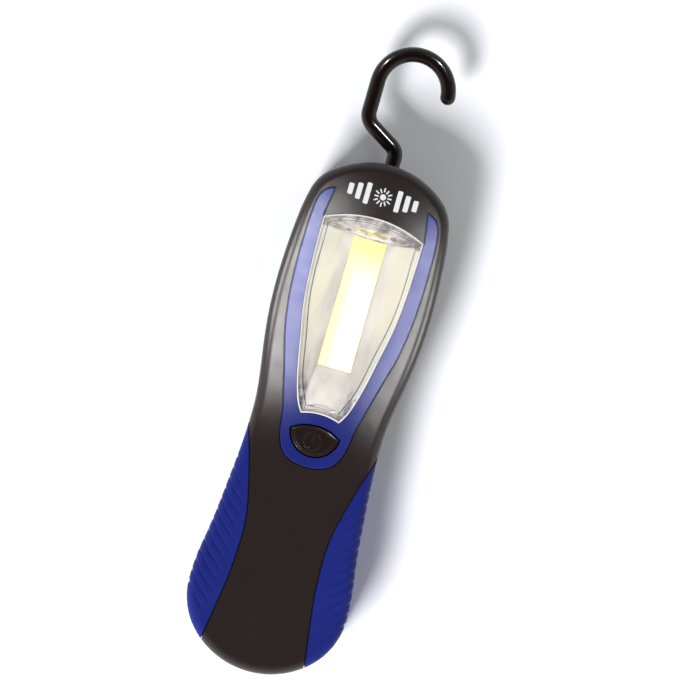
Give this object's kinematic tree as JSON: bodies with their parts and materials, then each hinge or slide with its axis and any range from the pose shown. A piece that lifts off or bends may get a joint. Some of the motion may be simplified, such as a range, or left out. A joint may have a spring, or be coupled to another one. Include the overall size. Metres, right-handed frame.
{
  "type": "work light",
  "caption": "Slim battery work light with a ribbed grip handle, a long bar of light under an arched lens, a push button and a swivelling hook.",
  "frame": {"origin": "under the middle of the whole light, on the plane that its flat back rests on", "axes": "+Z the way the lens faces, +Y along the light from the handle to the hook, +X to the right seen from the front"},
  "size_m": [0.0636, 0.2532, 0.0384],
  "materials": {
    "shell": "matt moulded plastic with a fine spark texture",
    "grip": "satin ribbed soft plastic",
    "trim": "satin moulded plastic",
    "lens": "clear moulded cover with a polished surface",
    "reflector": "glossy pale reflector",
    "board_aluminium": "aluminium-backed board with a white mask",
    "phosphor": "yellow phosphor gel, lit",
    "heat_plate": "plain extruded aluminium",
    "screw_steel": "zinc-plated",
    "button": "satin",
    "circuit_board": "green solder mask",
    "switch_case": "matt",
    "switch_plunger": "satin",
    "silicone": "matt silicone",
    "chip": "matt epoxy",
    "cell": "printed film over a steel can",
    "contact_metal": "nickel-plated",
    "hook_plastic": "glossy moulded plastic",
    "bush_plastic": "satin",
    "clip_steel": "phosphated spring steel",
    "magnet_nickel": "nickel-plated",
    "cup_steel": "zinc-plated",
    "wire_red": "insulation",
    "wire_black": "insulation"
  },
  "bodies": {
    "case": {"front_shell": "shell", "rear_shell": "shell", "right_grip": "grip", "left_grip": "grip", "lens_trim": "trim", "lens": "lens", "reflector": "reflector", "led_board": "board_aluminium", "led_phosphor": "phosphor", "heat_plate": "heat_plate", "plate_screws": "screw_steel", "control_board": "circuit_board", "switch_body": "switch_case", "return_pad": "silicone", "driver_chip": "chip", "resistor": "chip", "board_screws": "screw_steel", "cell_left": "cell", "cell_middle": "cell", "cell_right": "cell", "contact_plates": "contact_metal", "contact_springs": "contact_metal", "hook_bush": "bush_plastic", "hook_washer": "screw_steel", "magnet": "magnet_nickel", "magnet_cup": "cup_steel", "case_screws": "screw_steel", "wire_red": "wire_red", "wire_black": "wire_black"},
    "hook": {"hook": "hook_plastic", "hook_clip": "clip_steel"},
    "button": {"power_button": "button", "switch_plunger": "switch_plunger"},
    "door": {"battery_door": "shell"}
  },
  "joints": [
    {"name": "hook_swivel", "type": "hinge", "parent": "case", "child": "hook", "pos_m": [0, 0.0784, 0.015], "axis": [0, 1, 0], "continuous": true},
    {"name": "button_press", "type": "slide", "parent": "case", "child": "button", "axis": [0, 0, -1], "range_m": [0, 0.0012], "stiffness_N_per_m": 1500, "springref_m": -0.001, "deforming": ["return_pad"]},
    {"name": "door_slide", "type": "slide", "parent": "case", "child": "door", "axis": [0, -1, 0], "range_m": [0, 0.07]}
  ]
}
